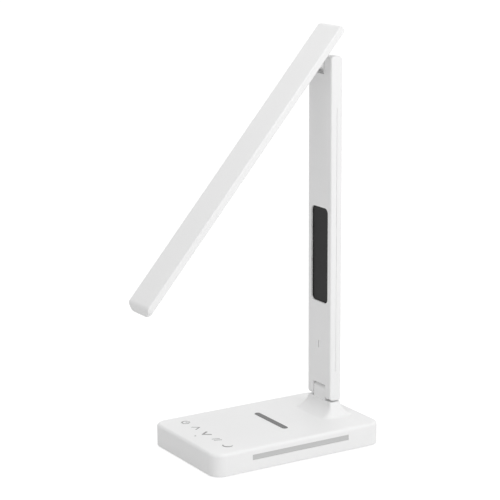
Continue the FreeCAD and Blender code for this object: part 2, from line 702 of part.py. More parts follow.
def flank_light_block(gap, x0, x1):
    half = FLANK_LIGHT_LENGTH / 2 - gap
    bottom = FLANK_LIGHT_BOTTOM + gap
    top = FLANK_LIGHT_TOP - gap
    return box(x0, x1, FLANK_LIGHT_Y - half, FLANK_LIGHT_Y + half, bottom, top)


def flank_light_lens():
    """The frosted strip in the right flank, with a flange behind the wall."""
    wall = FLANK_X - BASE_WALL
    face = flank_light_block(FLANK_LIGHT_GAP, wall - FLANK_FLANGE_THICKNESS, FLANK_X - FLANK_LIGHT_RECESS)
    flange = flank_light_block(-FLANK_FLANGE_LAP, wall - FLANK_FLANGE_THICKNESS, wall)
    return face.fuse(flange).removeSplitter()


def flank_led_face():
    return FLANK_X - BASE_WALL - FLANK_FLANGE_THICKNESS - FLANK_LIGHT_GAP


def flank_light_board():
    outer = flank_led_face() - FLANK_LED_DEPTH
    front = FLANK_LIGHT_Y - FLANK_LIGHT_LENGTH / 2
    back = FLANK_LIGHT_Y + FLANK_LIGHT_LENGTH / 2
    top = FLANK_LIGHT_TOP + FLANK_FLANGE_LAP
    return box(outer - FLANK_BOARD_THICKNESS, outer, front, back, COVER_TOP, top)


def flank_leds():
    face = flank_led_face()
    middle_z = (FLANK_LIGHT_BOTTOM + FLANK_LIGHT_TOP) / 2
    pitch = FLANK_LIGHT_LENGTH / FLANK_LED_COUNT
    leds = []
    for place in range(FLANK_LED_COUNT):
        y = FLANK_LIGHT_Y + (place - (FLANK_LED_COUNT - 1) / 2) * pitch
        corner = V(face - FLANK_LED_DEPTH, y - FLANK_LED_LENGTH / 2, middle_z - FLANK_LED_HEIGHT / 2)
        leds.append(Part.makeBox(FLANK_LED_DEPTH, FLANK_LED_LENGTH, FLANK_LED_HEIGHT, corner))
    return Part.makeCompound(leds)


def jack_point(y):
    return V(0, y, JACK_Z)


def power_jack():
    """The barrel socket in the back wall."""
    wall = BACK_Y - BASE_WALL
    mouth = BACK_Y - JACK_NOSE_RECESS
    body = rod(JACK_BODY_RADIUS, jack_point(wall - JACK_BODY_DEPTH), jack_point(wall))
    body = body.fuse(rod(JACK_NOSE_RADIUS, jack_point(wall), jack_point(mouth)))
    return body.cut(rod(JACK_BORE_RADIUS, jack_point(mouth - JACK_BORE_DEPTH), jack_point(mouth + CUT)))


def jack_pin():
    mouth = BACK_Y - JACK_NOSE_RECESS
    return rod(JACK_PIN_RADIUS, jack_point(mouth - JACK_BORE_DEPTH), jack_point(mouth - JACK_PIN_RECESS))


def at_heel(edge):
    """Whether an edge is the lower back edge of the pole, which stays nearly square."""
    middle = edge.BoundBox.Center
    return abs(middle.x) < SNAP and middle.y > POLE_BACK - SNAP and middle.z < POLE_FOOT + SNAP


def pole_block():
    """The whole pole before it is parted and hollowed, with its two hinge notches."""
    half = POLE_WIDTH / 2
    block = box(-half, half, POLE_FRONT, POLE_BACK, POLE_FOOT, POLE_HEAD)
    ends = [edge for edge in block.Edges if edge.BoundBox.XLength > half and not at_heel(edge)]
    block = block.makeFillet(EAR_ROUND, ends)
    block = block.makeFillet(EAR_HEEL_ROUND, [edge for edge in block.Edges if at_heel(edge)])
    rims = [edge for edge in block.Edges if abs(edge.BoundBox.Center.x) > half - SNAP]
    block = block.makeFillet(POLE_EDGE, rims)
    front = POLE_FRONT - CUT
    back = POLE_BACK + CUT
    lower = LOWER_NOTCH_HALF
    upper = UPPER_NOTCH_HALF
    block = block.cut(box(-lower, lower, front, back, POLE_FOOT - CUT, LOWER_NOTCH_TOP))
    return block.cut(box(-upper, upper, front, back, UPPER_NOTCH_FLOOR, POLE_HEAD + CUT))


def pole_hollow():
    half = POLE_WIDTH / 2 - POLE_SIDE_WALL
    return box(-half, half, LENS_FRONT, SPINE_BACK, CAVITY_BOTTOM, CAVITY_TOP)


def pole_groove(side):
    """The reveal along the parting line of one side of the pole."""
    edge = side * POLE_WIDTH / 2
    floor = edge - side * GROOVE_DEPTH
    outside = edge + side * CUT
    y0 = HINGE_Y - GROOVE_WIDTH / 2
    y1 = HINGE_Y + GROOVE_WIDTH / 2
    z0 = LOWER_AXIS_Z + GROOVE_FROM_LOWER
    z1 = UPPER_AXIS_Z - GROOVE_FROM_UPPER
    return box(min(floor, outside), max(floor, outside), y0, y1, z0, z1)


def pole_half(y0, y1):
    """The shell of the pole between two depths."""
    half = POLE_WIDTH / 2 + CUT
    slab = box(-half, half, y0, y1, POLE_FOOT - CUT, POLE_HEAD + CUT)
    shell = pole_block().common(slab).cut(pole_hollow())
    for z in (LOWER_AXIS_Z, UPPER_AXIS_Z):
        shell = shell.cut(hinge_rod(PIN_RADIUS + PIN_SEAT, PIN_LENGTH / 2 + PIN_SEAT, z))
    for side in (-1, 1):
        shell = shell.cut(pole_groove(side))
    return shell


def pole_screw_places():
    low = CAVITY_BOTTOM + POLE_SCREW_FROM_END
    middle = DISPLAY_BOARD_TOP + POLE_SCREW_ABOVE_BOARD
    high = CAVITY_TOP - POLE_SCREW_FROM_END
    return mirrored_pairs(POLE_SCREW_X, (low, middle, high))


def display_screw_places():
    x = DISPLAY_BOARD_HALF - DISPLAY_SCREW_INSET
    low = DISPLAY_BOARD_BOTTOM + DISPLAY_SCREW_INSET
    high = DISPLAY_BOARD_TOP - DISPLAY_SCREW_INSET
    return mirrored_pairs(x, (low, high))


def pole_screw_seat():
    return POLE_BACK - POLE_SCREW[2] - HEAD_POCKET_SINK


def pole_screw_tip():
    return POLE_FRONT + POLE_SKIN + HOLE_GAP


def pole_front_shell():
    front = POLE_FRONT - CUT
    half_slit = SLIT_WIDTH / 2
    shell = pole_half(front, HINGE_Y).cut(display_window_block(front, LENS_FRONT))
    slit = upright_plate(half_slit, SLIT_HEIGHT / 2, half_slit, front, LENS_FRONT + CUT, SLIT_X, SLIT_Z)
    shell = shell.cut(slit)
    for x, z in pole_screw_places():
        shell = shell.fuse(rod(POLE_BOSS_RADIUS, V(x, LENS_FRONT - POLE_SKIN / 2, z), V(x, HINGE_Y, z)))
        shell = shell.cut(rod(POLE_SCREW[0] + SCREW_GAP, V(x, pole_screw_tip(), z), V(x, HINGE_Y + CUT, z)))
    for x, z in display_screw_places():
        shell = shell.fuse(rod(DISPLAY_POST_RADIUS, V(x, LENS_FRONT - POLE_SKIN / 2, z), V(x, LCD_BACK, z)))
        tip = DISPLAY_BOARD_BACK - display_bite() - SCREW_GAP
        shell = shell.cut(rod(SMALL_SCREW[0] + SCREW_GAP, V(x, tip, z), V(x, LCD_BACK + CUT, z)))
    return shell.removeSplitter()


def pole_back_shell():
    shell = pole_half(HINGE_Y, POLE_BACK + CUT)
    shank_radius, head_radius, head_height = POLE_SCREW
    for x, z in pole_screw_places():
        behind = V(x, POLE_BACK + CUT, z)
        shell = shell.fuse(rod(POLE_BOSS_RADIUS, V(x, HINGE_Y, z), V(x, POLE_BACK - POLE_SKIN / 2, z)))
        shell = shell.cut(rod(head_radius + HEAD_POCKET_GAP, V(x, pole_screw_seat(), z), behind))
        shell = shell.cut(rod(shank_radius + HOLE_GAP, V(x, HINGE_Y - CUT, z), behind))
    return shell.removeSplitter()


def pole_screws():
    seat = pole_screw_seat()
    bite = seat - pole_screw_tip() - SCREW_GAP
    places = [V(x, seat, z) for x, z in pole_screw_places()]
    return Part.makeCompound([screw(POLE_SCREW, bite, place, -AXIS_Y) for place in places])


def display_window_block(y0, y1):
    return upright_plate(WINDOW_WIDTH / 2, WINDOW_HEIGHT / 2, WINDOW_CORNER, y0, y1, 0.0, WINDOW_Z)


def display_lens():
    """The smoked window, bonded behind its opening."""
    half_x = WINDOW_WIDTH / 2 + LENS_LAP
    half_z = WINDOW_HEIGHT / 2 + LENS_LAP
    return upright_plate(half_x, half_z, WINDOW_CORNER + LENS_LAP, LENS_FRONT, LENS_BACK, 0.0, WINDOW_Z)


def lcd_module():
    half_x = WINDOW_WIDTH / 2 - LCD_MARGIN
    half_z = WINDOW_HEIGHT / 2 - LCD_MARGIN
    return box(-half_x, half_x, LENS_BACK, LCD_BACK, WINDOW_Z - half_z, WINDOW_Z + half_z)


def display_board():
    half = DISPLAY_BOARD_HALF
    board = box(-half, half, LCD_BACK, DISPLAY_BOARD_BACK, DISPLAY_BOARD_BOTTOM, DISPLAY_BOARD_TOP)
    for x, z in display_screw_places():
        hole = rod(SMALL_SCREW[0] + HOLE_GAP, V(x, LCD_BACK - CUT, z), V(x, DISPLAY_BOARD_BACK + CUT, z))
        board = board.cut(hole)
    return board


def display_bite():
    return DISPLAY_BOARD_THICKNESS + LCD_BACK - LENS_FRONT - HOLE_GAP


def display_screws():
    places = [V(x, DISPLAY_BOARD_BACK, z) for x, z in display_screw_places()]
    return Part.makeCompound([screw(SMALL_SCREW, display_bite(), place, -AXIS_Y) for place in places])


def room_sensor():
    """The thermometer behind the slit, on the foot of the display board."""
    corner = V(SLIT_X - SENSOR_WIDTH / 2, LENS_FRONT + SENSOR_GAP, SLIT_Z - SENSOR_HEIGHT / 2)
    return Part.makeBox(SENSOR_WIDTH, LCD_BACK - corner.y, SENSOR_HEIGHT, corner)


def clock_cell():
    """The coin cell that keeps the clock, on the front of the display board between slit and window."""
    return rod(CELL_RADIUS, V(0, LCD_BACK - CELL_THICKNESS, CELL_Z), V(0, LCD_BACK, CELL_Z))


def pole_spine():
    bottom = CAVITY_BOTTOM + SPINE_END_GAP
    top = CAVITY_TOP - SPINE_END_GAP
    return box(-SPINE_HALF, SPINE_HALF, SPINE_FRONT, SPINE_BACK, bottom, top)


def pole_cable():
    """The flat lead that lies on the spine from hinge to hinge."""
    half = CABLE_WIDTH / 2
    return box(-half, half, SPINE_FRONT - CABLE_THICKNESS, SPINE_FRONT, CAVITY_BOTTOM, CAVITY_TOP)


def bevel_y(inset, z):
    """How far along the head its bevelled tip lies at one level, drawn in by an inset."""
    height = HEAD_TOP - HINGE_DROP
    drawn_in = inset * math.hypot(HEAD_BEVEL, height) / height
    return drawn_in - HEAD_TIP + HEAD_BEVEL * (z - HINGE_DROP) / height


def head_profile(inset, bottom):
    """The side view of the head, bevelled at its tip and rolled over at its rear, as a bar across it."""
    top = HEAD_TOP - inset
    rear = HEAD_REAR - inset
    side = -HEAD_WIDTH
    corners = [
        V(side, bevel_y(inset, bottom), bottom),
        V(side, bevel_y(inset, top), top),
        V(side, rear, top),
        V(side, rear, bottom),
        V(side, bevel_y(inset, bottom), bottom),
    ]
    bar = Part.Face(Part.makePolygon(corners)).extrude(V(2 * HEAD_WIDTH, 0, 0))
    tip_edge = [edge for edge in level_edges(bar, top) if edge.BoundBox.YMax < 0]
    bar = bar.makeFillet(HEAD_BEVEL_ROUND - inset, tip_edge)
    rear_edge = [edge for edge in level_edges(bar, top) if edge.BoundBox.YMin > rear - CUT]
    return bar.makeFillet(HEAD_REAR_ROLL - inset, rear_edge)


def head_plan(inset, z0, z1):
    """A level plate of the head's outline, drawn in by an inset."""
    half_y = (HEAD_TIP + HEAD_REAR) / 2 - inset
    middle = (HEAD_REAR - HEAD_TIP) / 2
    return rounded_block(HEAD_WIDTH / 2 - inset, half_y, HEAD_CORNER - inset, z0, z1, 0.0, middle)


def head_slab():
    """The outer form of the head."""
    half = HEAD_WIDTH / 2
    bar = box(-half, half, -HEAD_TIP, HEAD_REAR, HINGE_DROP, HEAD_TOP)
    for radius, level in ((HEAD_EDGE, HEAD_TOP), (HEAD_RIM, HINGE_DROP)):
        long_edges = [edge for edge in level_edges(bar, level) if edge.BoundBox.YLength > HEAD_TIP]
        bar = bar.makeFillet(radius, long_edges)
    return bar.common(head_plan(0.0, HINGE_DROP, HEAD_TOP)).common(head_profile(0.0, HINGE_DROP))


def panel_screw_places():
    return mirrored_pairs(PANEL_SCREW_X, (PANEL_SCREW_FRONT, PANEL_SCREW_REAR))


def panel_screw_seat():
    return DIFFUSER_BOTTOM + SMALL_SCREW[2] + HEAD_POCKET_SINK


def head_cover():
    bottom = HINGE_DROP - CUT
    hollow = head_plan(HEAD_SKIN, bottom, HEAD_CEILING).common(head_profile(HEAD_SKIN, bottom))
    cover = head_slab().cut(hollow)
    for x, y in panel_screw_places():
        root = V(x, y, HEAD_CEILING + HEAD_SKIN / 2)
        cover = cover.fuse(rod(PANEL_BOSS_RADIUS, V(x, y, PANEL_TOP), root))
        pilot_top = PANEL_TOP + PANEL_SCREW_BITE + SCREW_GAP
        cover = cover.cut(rod(SMALL_SCREW[0] + SCREW_GAP, V(x, y, PANEL_TOP - CUT), V(x, y, pilot_top)))
    return cover.removeSplitter()


def hinge_lug():
    """The middle leaf of the upper hinge, spreading into the panel that carries it."""
    half = LUG_WIDTH / 2
    root = DIFFUSER_BOTTOM + PANEL_THICKNESS / 2
    points = [
        V(-half, -LUG_RADIUS, 0),
        V(-half, LUG_RADIUS, 0),
        V(-half, LUG_ROOT_HALF, root),
        V(-half, -LUG_ROOT_HALF, root),
        V(-half, -LUG_RADIUS, 0),
    ]
    arm = Part.Face(Part.makePolygon(points)).extrude(V(LUG_WIDTH, 0, 0))
    return arm.fuse(rod(LUG_RADIUS, V(-half, 0, 0), V(half, 0, 0)))


def hinge_panel():
    """The rear underside of the head with the hinge lug on it."""
    across = box(-HEAD_WIDTH, HEAD_WIDTH, -PANEL_FRONT, HEAD_REAR, DIFFUSER_BOTTOM, PANEL_TOP)
    inset = HEAD_SKIN + HEAD_GAP
    panel = head_plan(inset, DIFFUSER_BOTTOM, PANEL_TOP).common(across)
    panel = panel.common(head_profile(inset, DIFFUSER_BOTTOM)).fuse(hinge_lug())
    panel = panel.cut(rod(BUSH_RADIUS, V(-LUG_WIDTH, 0, 0), V(LUG_WIDTH, 0, 0)))
    shank_radius, head_radius, head_height = SMALL_SCREW
    for x, y in panel_screw_places():
        below = V(x, y, DIFFUSER_BOTTOM - CUT)
        panel = panel.cut(rod(head_radius + HEAD_POCKET_GAP, below, V(x, y, panel_screw_seat())))
        panel = panel.cut(rod(shank_radius + HOLE_GAP, below, V(x, y, PANEL_TOP + CUT)))
    return panel.removeSplitter()


def panel_screws():
    seat = panel_screw_seat()
    bite = PANEL_TOP - seat + PANEL_SCREW_BITE
    places = [V(x, y, seat) for x, y in panel_screw_places()]
    return Part.makeCompound([screw(SMALL_SCREW, bite, place, AXIS_Z) for place in places])


def upper_bush():
    half = LUG_WIDTH / 2
    sleeve = rod(BUSH_RADIUS, V(-half, 0, 0), V(half, 0, 0))
    return sleeve.cut(rod(PIN_RADIUS + RUNNING_GAP, V(-LUG_WIDTH, 0, 0), V(LUG_WIDTH, 0, 0)))


def diffuser_panel():
    inset = HEAD_SKIN + HEAD_GAP
    ahead = box(-HEAD_WIDTH, HEAD_WIDTH, -HEAD_TIP, LAYERS_REAR, DIFFUSER_BOTTOM, GUIDE_BOTTOM)
    panel = head_plan(inset, DIFFUSER_BOTTOM, GUIDE_BOTTOM).common(ahead)
    return panel.common(head_profile(inset, DIFFUSER_BOTTOM))


def light_guide():
    half = LED_INNER - HEAD_GAP
    return box(-half, half, LAYERS_TIP, LAYERS_REAR, GUIDE_BOTTOM, REFLECTOR_BOTTOM)


def reflector_sheet():
    half = HEAD_INNER_HALF - HEAD_GAP
    return box(-half, half, LAYERS_TIP, LAYERS_REAR, REFLECTOR_BOTTOM, HEAT_PLATE_BOTTOM)


def heat_plate():
    half = HEAD_INNER_HALF - HEAD_GAP
    return box(-half, half, LAYERS_TIP, LAYERS_REAR, HEAT_PLATE_BOTTOM, HEAD_CEILING)


def led_board(side):
    inner = side * LED_BOARD_INNER
    outer = side * LED_BOARD_OUTER
    return box(min(inner, outer), max(inner, outer), LAYERS_TIP, LAYERS_REAR, GUIDE_BOTTOM, REFLECTOR_BOTTOM)


def led_row(side):
    """The lamps of one side, facing into the edge of the light guide."""
    count = int((LAYERS_REAR - LAYERS_TIP - 2 * LED_FIRST) / LED_PITCH) + 1
    near = side * LED_INNER
    far = side * LED_BOARD_INNER
    middle = (GUIDE_BOTTOM + REFLECTOR_BOTTOM) / 2
    leds = []
    for place in range(count):
        y = LAYERS_TIP + LED_FIRST + place * LED_PITCH
        corner = V(min(near, far), y - LED_LENGTH / 2, middle - LED_HEIGHT / 2)
        leds.append(Part.makeBox(LED_DEPTH, LED_LENGTH, LED_HEIGHT, corner))
    return Part.makeCompound(leds)


def head_cable():
    """The flat lead from the upper hinge to the lamps."""
    half = CABLE_WIDTH / 2
    return box(-half, half, -PANEL_FRONT, -LUG_RADIUS, PANEL_TOP, PANEL_TOP + CABLE_THICKNESS)


def on_upper_hinge(shape):
    """Turns a piece of the head to its resting slope and hangs it on the upper hinge."""
    shape.rotate(ORIGIN, AXIS_X, 90 - HEAD_ANGLE)
    shape.translate(V(0, HINGE_Y, UPPER_AXIS_Z))
    return shape


def base_nodes():
    return {
        "base_shell": base_shell(),
        "base_cover": base_cover(),
        "foot_ring": foot_ring(),
        "cover_screws": cover_screws(),
        "ballast_plate": ballast_plate(),
        "ballast_screws": ballast_screws(),
        "main_board": main_board(),
        "main_board_screws": main_board_screws(),
        "board_parts": board_parts(),
        "base_harness": base_harness(),
        "charging_coil": charging_coil(),
        "ferrite_sheet": ferrite_sheet(),
        "charging_strip": charging_strip_block(0.0, STRIP_PROUD),
        "touch_board": touch_board(),
        "touch_icons": touch_icons_block(KEY_PROUD),
        "indicator_pipe": indicator_rod(PIPE_RADIUS, BASE_CEILING, BASE_TOP),
        "flank_light_lens": flank_light_lens(),
        "flank_light_board": flank_light_board(),
        "flank_leds": flank_leds(),
        "power_jack": power_jack(),
        "jack_pin": jack_pin(),
        "lower_bush": hinge_bush(KNUCKLE_WIDTH, LOWER_AXIS_Z),
    }


def pole_nodes():
    return {
        "pole_front_shell": pole_front_shell(),
        "pole_back_shell": pole_back_shell(),
        "pole_screws": pole_screws(),
        "display_lens": display_lens(),
        "lcd_module": lcd_module(),
        "display_board": display_board(),
        "display_screws": display_screws(),
        "room_sensor": room_sensor(),
        "clock_cell": clock_cell(),
        "pole_spine": pole_spine(),
        "pole_cable": pole_cable(),
        "lower_hinge_pin": hinge_pin(LOWER_AXIS_Z),
        "lower_washers": hinge_washers(KNUCKLE_WIDTH, LOWER_AXIS_Z),
        "upper_hinge_pin": hinge_pin(UPPER_AXIS_Z),
        "upper_washers": hinge_washers(LUG_WIDTH, UPPER_AXIS_Z),
    }


def head_nodes():
    pieces = {
        "head_cover": head_cover(),
        "hinge_panel": hinge_panel(),
        "panel_screws": panel_screws(),
        "upper_bush": upper_bush(),
        "diffuser_panel": diffuser_panel(),
        "light_guide": light_guide(),
        "reflector_sheet": reflector_sheet(),
        "heat_plate": heat_plate(),
        "left_led_board": led_board(-1),
        "right_led_board": led_board(1),
        "left_leds": led_row(-1),
        "right_leds": led_row(1),
        "head_cable": head_cable(),
    }
    return {name: on_upper_hinge(shape) for name, shape in pieces.items()}


os.makedirs("parts", exist_ok=True)
for nodes in (base_nodes(), pole_nodes(), head_nodes()):
    for name, shape in nodes.items():
        shape.exportStep(f"parts/{name}.step")
        print(name, len(shape.Solids), round(shape.Volume / 1000, 2), "cm3", shape.isValid())
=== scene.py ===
import bmesh
import bpy
import math
from mathutils import Matrix, Vector


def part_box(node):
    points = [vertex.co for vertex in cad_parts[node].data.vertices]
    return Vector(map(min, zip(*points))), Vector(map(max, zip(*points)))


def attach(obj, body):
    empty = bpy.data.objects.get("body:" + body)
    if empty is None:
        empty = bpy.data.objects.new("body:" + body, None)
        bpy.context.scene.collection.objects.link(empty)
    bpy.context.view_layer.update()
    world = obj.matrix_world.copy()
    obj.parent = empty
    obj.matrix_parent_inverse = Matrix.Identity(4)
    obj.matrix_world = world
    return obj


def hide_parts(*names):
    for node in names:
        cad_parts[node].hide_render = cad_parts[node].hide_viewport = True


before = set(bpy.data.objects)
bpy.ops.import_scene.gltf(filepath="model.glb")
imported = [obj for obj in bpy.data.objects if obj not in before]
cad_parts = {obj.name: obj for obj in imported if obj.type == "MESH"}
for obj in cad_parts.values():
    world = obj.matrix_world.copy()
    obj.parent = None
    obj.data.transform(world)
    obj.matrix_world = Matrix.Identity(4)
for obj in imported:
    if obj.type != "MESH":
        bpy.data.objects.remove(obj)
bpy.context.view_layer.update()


# Base shell: the flat white tray with the flared neck and the middle leaf of the lower hinge moulded on it.
# It is injection moulded in a tool with a fine spark-eroded grain, so the white plastic is satin, not glossy.
# It is open below, where the bottom cover closes it.
CLOUD_SIZE = 0.06
GRAIN_GLOSS = 0.12
EVEN = (1.0, 1.0, 1.0)


class Wire:
    """An output socket of a node tree. Sums on wires add Math nodes, and make() adds any other node."""

    def __init__(self, socket):
        self.socket = socket

    @classmethod
    def make(cls, tree, kind, settings=None, sockets=None, out=0):
        """Adds a node with its settings and sockets, and gives one of its outputs."""
        node = tree.nodes.new(f"ShaderNode{kind}")
        for name, value in (settings or {}).items():
            setattr(node, name, value)
        cls.feed(node, sockets or {})
        return cls(node.outputs[out])

    @classmethod
    def feed(cls, node, sockets):
        """Sets a node's sockets to values, or links wires to them."""
        for name, value in sockets.items():
            if isinstance(value, cls):
                node.id_data.links.new(value.socket, node.inputs[name])
            else:
                node.inputs[name].default_value = value

    def calculate(self, operation, first, second):
        """Adds a Math node beside this wire."""
        return Wire.make(self.socket.id_data, "Math", {"operation": operation}, {0: first, 1: second})

    def __add__(self, other):
        return self.calculate("ADD", self, other)

    def __radd__(self, other):
        return self.calculate("ADD", other, self)

    def __sub__(self, other):
        return self.calculate("SUBTRACT", self, other)

    def __rsub__(self, other):
        return self.calculate("SUBTRACT", other, self)

    def __mul__(self, other):
        return self.calculate("MULTIPLY", self, other)

    def __rmul__(self, other):
        return self.calculate("MULTIPLY", other, self)


def new_finish(name):
    """An empty material with its node tree and its shader."""
    finish = bpy.data.materials.new(name)
    finish.use_nodes = True
    return finish, finish.node_tree, finish.node_tree.nodes["Principled BSDF"]


def noise(tree, size, detail=2.0, stretch=EVEN):
    """Clouds of a given size in metres on a piece's own coordinates, from 0 to 1."""
    place = Wire.make(tree, "TexCoord", out="Object")
    scaled = Wire.make(tree, "VectorMath", {"operation": "MULTIPLY"}, {0: place, 1: stretch})
    return Wire.make(tree, "TexNoise", None, {"Vector": scaled, "Scale": 1 / size, "Detail": detail})


def blend_tones(tree, share, first, second):
    """A colour between two others. A colour Mix has its colours on sockets 6 and 7 and gives output 2."""
    return Wire.make(tree, "Mix", {"data_type": "RGBA"}, {0: share, 6: first, 7: second}, out=2)


def bump(tree, height, depth):
    """A surface raised by up to a depth in metres."""
    return Wire.make(tree, "Bump", None, {"Strength": 1.0, "Distance": depth, "Height": height})


def grey(tone):
    """A grey in linear light."""
    return (tone, tone, tone, 1.0)


def moulding(name, tone, shade, rough, grain_size, grain_depth, specular=0.5):
    """A moulded plastic or rubber: clouds between two close tones and a fine grain that breaks up its gloss."""
    finish, tree, shader = new_finish(name)
    clouds = noise(tree, CLOUD_SIZE)
    grain = noise(tree, grain_size, detail=1.0)
    Wire.feed(shader, {
        "Base Color": blend_tones(tree, clouds, tone, shade),
        "Roughness": rough + (grain - 0.5) * GRAIN_GLOSS,
        "Specular IOR Level": specular,
        "Normal": bump(tree, grain, grain_depth),
    })
    return finish


def dress(finish, *nodes):
    """Gives CAD nodes a finish."""
    for node in nodes:
        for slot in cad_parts[node].material_slots:
            slot.material = finish


white = moulding("white_shell", grey(0.87), grey(0.85), rough=0.46, grain_size=0.0004, grain_depth=0.000012)
dress(white, "base_shell")


# Charging coil and ferrite sheet: the flat winding that charges a phone, and the black sheet under it that
# keeps its field off the boards. Both are glued up under the roof of the base.
# The winding shows its turns of enamelled wire as rings round its middle, with painted shade darkening the
# grooves between the turns.
TURN_PITCH = 0.0009
TURN_HEIGHT = 0.0003
TURN_ROUGH = 0.5
TURN_GLOSS = 0.2
# Painted shade: the grooves between the turns are coloured a darker copper.
COPPER_PAINTED_GROOVE_SHADE = (0.36, 0.12, 0.05, 1.0)
COPPER = (0.75, 0.33, 0.17, 1.0)
IN_PLANE = (1.0, 1.0, 0.0)
coil_low, coil_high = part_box("charging_coil")
coil_middle = (Vector(coil_low) + Vector(coil_high)) / 2
copper, tree, shader = new_finish("copper_winding")
place = Wire.make(tree, "TexCoord", out="Object")
from_middle = Wire.make(tree, "VectorMath", {"operation": "SUBTRACT"}, {0: place, 1: coil_middle})
flat = Wire.make(tree, "VectorMath", {"operation": "MULTIPLY"}, {0: from_middle, 1: IN_PLANE})
radius = Wire.make(tree, "VectorMath", {"operation": "LENGTH"}, {0: flat}, out="Value")
turns = 0.5 + 0.5 * radius.calculate("SINE", radius * (2 * math.pi / TURN_PITCH), 0.0)
Wire.feed(shader, {
    # Colour runs from the painted groove shade up to plain copper on the crests of the turns.
    "Base Color": blend_tones(tree, turns, COPPER_PAINTED_GROOVE_SHADE, COPPER),
    "Metallic": 1.0,
    "Roughness": TURN_ROUGH - TURN_GLOSS * turns,
    "Normal": bump(tree, turns, TURN_HEIGHT),
})
dress(copper, "charging_coil")
ferrite = moulding("ferrite", grey(0.02), grey(0.013), rough=0.6, grain_size=0.0008, grain_depth=0.00002)
dress(ferrite, "ferrite_sheet")


# Charging strip: the dark silicone bar that marks where the phone lies and keeps it from sliding.
# It is pressed into a slot in the roof of the base and stands a little proud.
silicone = moulding("dark_silicone", grey(0.2), grey(0.17), rough=0.65, grain_size=0.0006, grain_depth=0.00002)
dress(silicone, "charging_strip")


# Touch keys: five grey symbols filled into shallow recesses of the roof, and the tip of the clear rod that
# brings up the light of the charging lamp. The board that feels the finger lies under them.
# Boards are green with a glossy lacquer, and a dull white lead runs from them up through the neck.
symbol = moulding("grey_symbol", grey(0.3), grey(0.26), rough=0.5, grain_size=0.0006, grain_depth=0.000004)
dress(symbol, "touch_icons", "indicator_pipe")
lacquer = moulding("circuit_board", (0.03, 0.16, 0.07, 1.0), (0.02, 0.1, 0.05, 1.0), rough=0.35,
                   grain_size=0.001, grain_depth=0.00001)
dress(lacquer, "touch_board", "main_board", "flank_light_board", "display_board")
black = moulding("black_moulding", grey(0.02), grey(0.014), rough=0.45, grain_size=0.0005, grain_depth=0.00001)
dress(black, "board_parts")
jacket = moulding("cable_jacket", grey(0.6), grey(0.52), rough=0.6, grain_size=0.001, grain_depth=0.00001)
dress(jacket, "base_harness")


# Night light: a frosted strip let into the right flank, with a row of small lamps on a board behind it.
# Light scatters in the strip, so unlit it looks a cool, even grey beside the white shell.
frosted = moulding("frosted_strip", grey(0.56), grey(0.52), rough=0.4, grain_size=0.0006, grain_depth=0.00001)
dress(frosted, "flank_light_lens")
led = moulding("led_package", (0.8, 0.7, 0.3, 1.0), (0.75, 0.62, 0.25, 1.0), rough=0.4,
               grain_size=0.001, grain_depth=0.00001)
dress(led, "flank_leds")


# Power jack: a black barrel socket held behind the back wall, with a bright plated pin in its bore.
# The pin is drawn wire, so its fine marks run along it.
MARK_GLOSS = 0.2
ALONG_X = (0.05, 1.0, 1.0)
ALONG_Y = (1.0, 0.05, 1.0)


def metal(name, tone, shade, rough, mark_size, stretch, mark_depth):
    """A bare metal with fine marks drawn out along one direction by its rolling, turning or grinding."""
    finish, tree, shader = new_finish(name)
    marks = noise(tree, mark_size, detail=3.0, stretch=stretch)
    Wire.feed(shader, {
        "Base Color": blend_tones(tree, marks, tone, shade),
        "Metallic": 1.0,
        "Roughness": rough + (marks - 0.5) * MARK_GLOSS,
        "Normal": bump(tree, marks, mark_depth),
    })
    return finish


dress(black, "power_jack")
plated = metal("bright_contact", grey(0.75), grey(0.68), rough=0.2, mark_size=0.0004, stretch=ALONG_Y,
               mark_depth=0.000002)
dress(plated, "jack_pin")


# Ballast: a rolled steel plate on the bottom cover that keeps the lamp standing, and the screws that hold it
# and the main board. The screws are zinc plated.
plate_steel = metal("plate_steel", grey(0.52), grey(0.42), rough=0.42, mark_size=0.001, stretch=ALONG_Y,
                    mark_depth=0.000004)
dress(plate_steel, "ballast_plate")
screw_steel = metal("screw_steel", grey(0.62), grey(0.5), rough=0.32, mark_size=0.0004, stretch=EVEN,
                    mark_depth=0.000004)
dress(screw_steel, "ballast_screws", "main_board_screws")


# Bottom cover: a white plate that closes the base, with the grey rubber ring that the lamp stands on pressed
# into it. Four screws with cross recesses hold it, sunk into pockets.
ISLAND_JOIN = 1e-6
HEAD_SIDES = 28
HEAD_DOME = ((0.76, 0.0), (0.92, 0.12), (1.0, 0.38), (1.0, 1.0))
CROSS_REACH = 0.56
CROSS_HALF = 0.14
CROSS_DEPTH = 0.6
CROSS_TAPER = 0.7
THREAD_PITCH = 0.0005
THREAD_ROOT = 0.8
SCREW_TIP = 0.35
UPWARD = Vector((0.0, 0.0, 1.0))


def node_solids(node, axes):
    """The lowest and highest corners of each separate solid of a node, measured along three axes."""
    shape = bmesh.new()
    shape.from_mesh(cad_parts[node].data)
    bmesh.ops.remove_doubles(shape, verts=shape.verts, dist=ISLAND_JOIN)
    waiting = set(shape.verts)
    corners = []
    while waiting:
        found = [waiting.pop()]
        for vert in found:
            for edge in vert.link_edges:
                other = edge.other_vert(vert)
                if other in waiting:
                    waiting.remove(other)
                    found.append(other)
        places = [axes.transposed() @ vert.co for vert in found]
        corners.append([Vector([pick(place[i] for place in places) for i in range(3)]) for pick in (min, max)])
    shape.free()
    return corners


